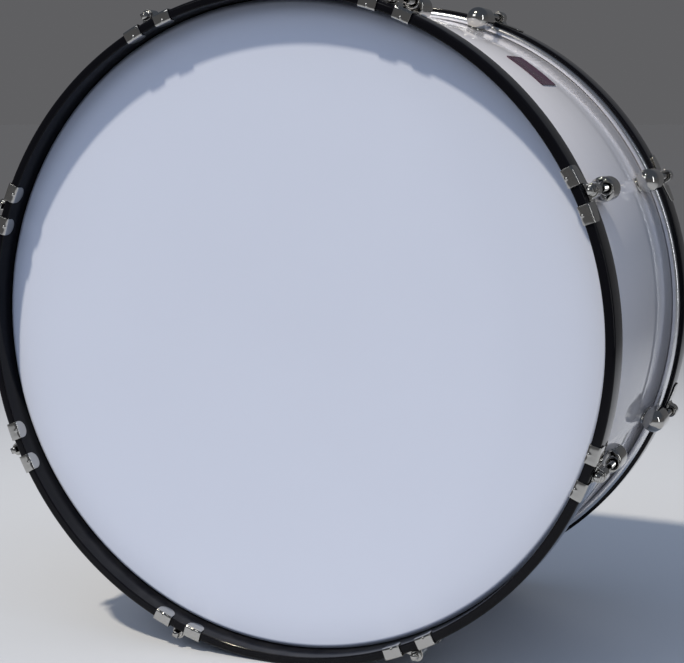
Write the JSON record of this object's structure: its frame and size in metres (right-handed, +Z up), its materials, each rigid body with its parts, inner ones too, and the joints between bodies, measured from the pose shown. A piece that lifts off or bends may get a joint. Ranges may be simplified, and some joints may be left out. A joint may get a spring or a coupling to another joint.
{
  "type": "marching bass drum",
  "caption": "Two-headed marching bass drum: white shell, black counter hoops, twin-lip claws, key rods and bullet lugs that tension each head.",
  "frame": {"origin": "on the floor under the middle of the drum, which stands on its two hoops", "axes": "+Y along the drum axis from the front head to the rear head, +Z up, +X to the right as seen from the front"},
  "size_m": [0.634, 0.355, 0.634],
  "materials": {
    "wood_shell": "bare plywood inside, satin",
    "white_covering": "glossy white covering with a slight lilac cast",
    "badge": "plain dark maroon plate, semi-gloss",
    "vent_metal": "polished",
    "black_hoop": "gloss black lacquer over maple",
    "flesh_hoop_metal": "satin",
    "head_film": "smooth white polyester film, satin",
    "claw_chrome": "polished, slightly warm",
    "rod_chrome": "polished",
    "lug_chrome": "polished"
  },
  "bodies": {
    "shell_body": {"shell": "wood_shell", "shell_wrap": "white_covering", "badge_plate": "badge", "vent_grommet": "vent_metal", "front_lug_1": "lug_chrome", "front_lug_2": "lug_chrome", "front_lug_3": "lug_chrome", "front_lug_4": "lug_chrome", "front_lug_5": "lug_chrome", "front_lug_6": "lug_chrome", "front_lug_7": "lug_chrome", "front_lug_8": "lug_chrome", "rear_lug_1": "lug_chrome", "rear_lug_2": "lug_chrome", "rear_lug_3": "lug_chrome", "rear_lug_4": "lug_chrome", "rear_lug_5": "lug_chrome", "rear_lug_6": "lug_chrome", "rear_lug_7": "lug_chrome", "rear_lug_8": "lug_chrome"},
    "front_rim": {"front_hoop": "black_hoop", "front_flesh_hoop": "flesh_hoop_metal", "front_head": "head_film", "front_claw_1": "claw_chrome", "front_claw_2": "claw_chrome", "front_claw_3": "claw_chrome", "front_claw_4": "claw_chrome", "front_claw_5": "claw_chrome", "front_claw_6": "claw_chrome", "front_claw_7": "claw_chrome", "front_claw_8": "claw_chrome"},
    "front_rod_1_body": {"front_rod_1": "rod_chrome"},
    "front_rod_2_body": {"front_rod_2": "rod_chrome"},
    "front_rod_3_body": {"front_rod_3": "rod_chrome"},
    "front_rod_4_body": {"front_rod_4": "rod_chrome"},
    "front_rod_5_body": {"front_rod_5": "rod_chrome"},
    "front_rod_6_body": {"front_rod_6": "rod_chrome"},
    "front_rod_7_body": {"front_rod_7": "rod_chrome"},
    "front_rod_8_body": {"front_rod_8": "rod_chrome"},
    "rear_rim": {"rear_hoop": "black_hoop", "rear_flesh_hoop": "flesh_hoop_metal", "rear_head": "head_film", "rear_claw_1": "claw_chrome", "rear_claw_2": "claw_chrome", "rear_claw_3": "claw_chrome", "rear_claw_4": "claw_chrome", "rear_claw_5": "claw_chrome", "rear_claw_6": "claw_chrome", "rear_claw_7": "claw_chrome", "rear_claw_8": "claw_chrome"},
    "rear_rod_1_body": {"rear_rod_1": "rod_chrome"},
    "rear_rod_2_body": {"rear_rod_2": "rod_chrome"},
    "rear_rod_3_body": {"rear_rod_3": "rod_chrome"},
    "rear_rod_4_body": {"rear_rod_4": "rod_chrome"},
    "rear_rod_5_body": {"rear_rod_5": "rod_chrome"},
    "rear_rod_6_body": {"rear_rod_6": "rod_chrome"},
    "rear_rod_7_body": {"rear_rod_7": "rod_chrome"},
    "rear_rod_8_body": {"rear_rod_8": "rod_chrome"}
  },
  "joints": [
    {"name": "front_slacken", "type": "slide", "parent": "shell_body", "child": "front_rim", "axis": [0, -1, 0], "range_m": [0, 0.016]},
    {"name": "front_rod_1_turn", "type": "hinge", "parent": "front_rim", "child": "front_rod_1_body", "pos_m": [0.1103, -0.1704, 0.62005], "axis": [0, -1, 0], "range_deg": [0, 5760]},
    {"name": "front_rod_2_turn", "type": "hinge", "parent": "front_rim", "child": "front_rod_2_body", "pos_m": [0.29228, -0.1704, 0.45329], "axis": [0, -1, 0], "range_deg": [0, 5760]},
    {"name": "front_rod_3_turn", "type": "hinge", "parent": "front_rim", "child": "front_rod_3_body", "pos_m": [0.30305, -0.1704, 0.2067], "axis": [0, -1, 0], "range_deg": [0, 5760]},
    {"name": "front_rod_4_turn", "type": "hinge", "parent": "front_rim", "child": "front_rod_4_body", "pos_m": [0.13629, -0.1704, 0.02472], "axis": [0, -1, 0], "range_deg": [0, 5760]},
    {"name": "front_rod_5_turn", "type": "hinge", "parent": "front_rim", "child": "front_rod_5_body", "pos_m": [-0.1103, -0.1704, 0.01395], "axis": [0, -1, 0], "range_deg": [0, 5760]},
    {"name": "front_rod_6_turn", "type": "hinge", "parent": "front_rim", "child": "front_rod_6_body", "pos_m": [-0.29228, -0.1704, 0.18071], "axis": [0, -1, 0], "range_deg": [0, 5760]},
    {"name": "front_rod_7_turn", "type": "hinge", "parent": "front_rim", "child": "front_rod_7_body", "pos_m": [-0.30305, -0.1704, 0.4273], "axis": [0, -1, 0], "range_deg": [0, 5760]},
    {"name": "front_rod_8_turn", "type": "hinge", "parent": "front_rim", "child": "front_rod_8_body", "pos_m": [-0.13629, -0.1704, 0.60928], "axis": [0, -1, 0], "range_deg": [0, 5760]},
    {"name": "rear_slacken", "type": "slide", "parent": "shell_body", "child": "rear_rim", "axis": [0, 1, 0], "range_m": [0, 0.016]},
    {"name": "rear_rod_1_turn", "type": "hinge", "parent": "rear_rim", "child": "rear_rod_1_body", "pos_m": [0.1103, 0.1704, 0.62005], "axis": [0, 1, 0], "range_deg": [0, 5760]},
    {"name": "rear_rod_2_turn", "type": "hinge", "parent": "rear_rim", "child": "rear_rod_2_body", "pos_m": [0.29228, 0.1704, 0.45329], "axis": [0, 1, 0], "range_deg": [0, 5760]},
    {"name": "rear_rod_3_turn", "type": "hinge", "parent": "rear_rim", "child": "rear_rod_3_body", "pos_m": [0.30305, 0.1704, 0.2067], "axis": [0, 1, 0], "range_deg": [0, 5760]},
    {"name": "rear_rod_4_turn", "type": "hinge", "parent": "rear_rim", "child": "rear_rod_4_body", "pos_m": [0.13629, 0.1704, 0.02472], "axis": [0, 1, 0], "range_deg": [0, 5760]},
    {"name": "rear_rod_5_turn", "type": "hinge", "parent": "rear_rim", "child": "rear_rod_5_body", "pos_m": [-0.1103, 0.1704, 0.01395], "axis": [0, 1, 0], "range_deg": [0, 5760]},
    {"name": "rear_rod_6_turn", "type": "hinge", "parent": "rear_rim", "child": "rear_rod_6_body", "pos_m": [-0.29228, 0.1704, 0.18071], "axis": [0, 1, 0], "range_deg": [0, 5760]},
    {"name": "rear_rod_7_turn", "type": "hinge", "parent": "rear_rim", "child": "rear_rod_7_body", "pos_m": [-0.30305, 0.1704, 0.4273], "axis": [0, 1, 0], "range_deg": [0, 5760]},
    {"name": "rear_rod_8_turn", "type": "hinge", "parent": "rear_rim", "child": "rear_rod_8_body", "pos_m": [-0.13629, 0.1704, 0.60928], "axis": [0, 1, 0], "range_deg": [0, 5760]}
  ],
  "couplings": [
    {"joint": "front_rod_1_turn", "follows": "front_slacken", "rad_per_m": 6283.2},
    {"joint": "front_rod_2_turn", "follows": "front_slacken", "rad_per_m": 6283.2},
    {"joint": "front_rod_3_turn", "follows": "front_slacken", "rad_per_m": 6283.2},
    {"joint": "front_rod_4_turn", "follows": "front_slacken", "rad_per_m": 6283.2},
    {"joint": "front_rod_5_turn", "follows": "front_slacken", "rad_per_m": 6283.2},
    {"joint": "front_rod_6_turn", "follows": "front_slacken", "rad_per_m": 6283.2},
    {"joint": "front_rod_7_turn", "follows": "front_slacken", "rad_per_m": 6283.2},
    {"joint": "front_rod_8_turn", "follows": "front_slacken", "rad_per_m": 6283.2},
    {"joint": "rear_rod_1_turn", "follows": "rear_slacken", "rad_per_m": 6283.2},
    {"joint": "rear_rod_2_turn", "follows": "rear_slacken", "rad_per_m": 6283.2},
    {"joint": "rear_rod_3_turn", "follows": "rear_slacken", "rad_per_m": 6283.2},
    {"joint": "rear_rod_4_turn", "follows": "rear_slacken", "rad_per_m": 6283.2},
    {"joint": "rear_rod_5_turn", "follows": "rear_slacken", "rad_per_m": 6283.2},
    {"joint": "rear_rod_6_turn", "follows": "rear_slacken", "rad_per_m": 6283.2},
    {"joint": "rear_rod_7_turn", "follows": "rear_slacken", "rad_per_m": 6283.2},
    {"joint": "rear_rod_8_turn", "follows": "rear_slacken", "rad_per_m": 6283.2}
  ]
}
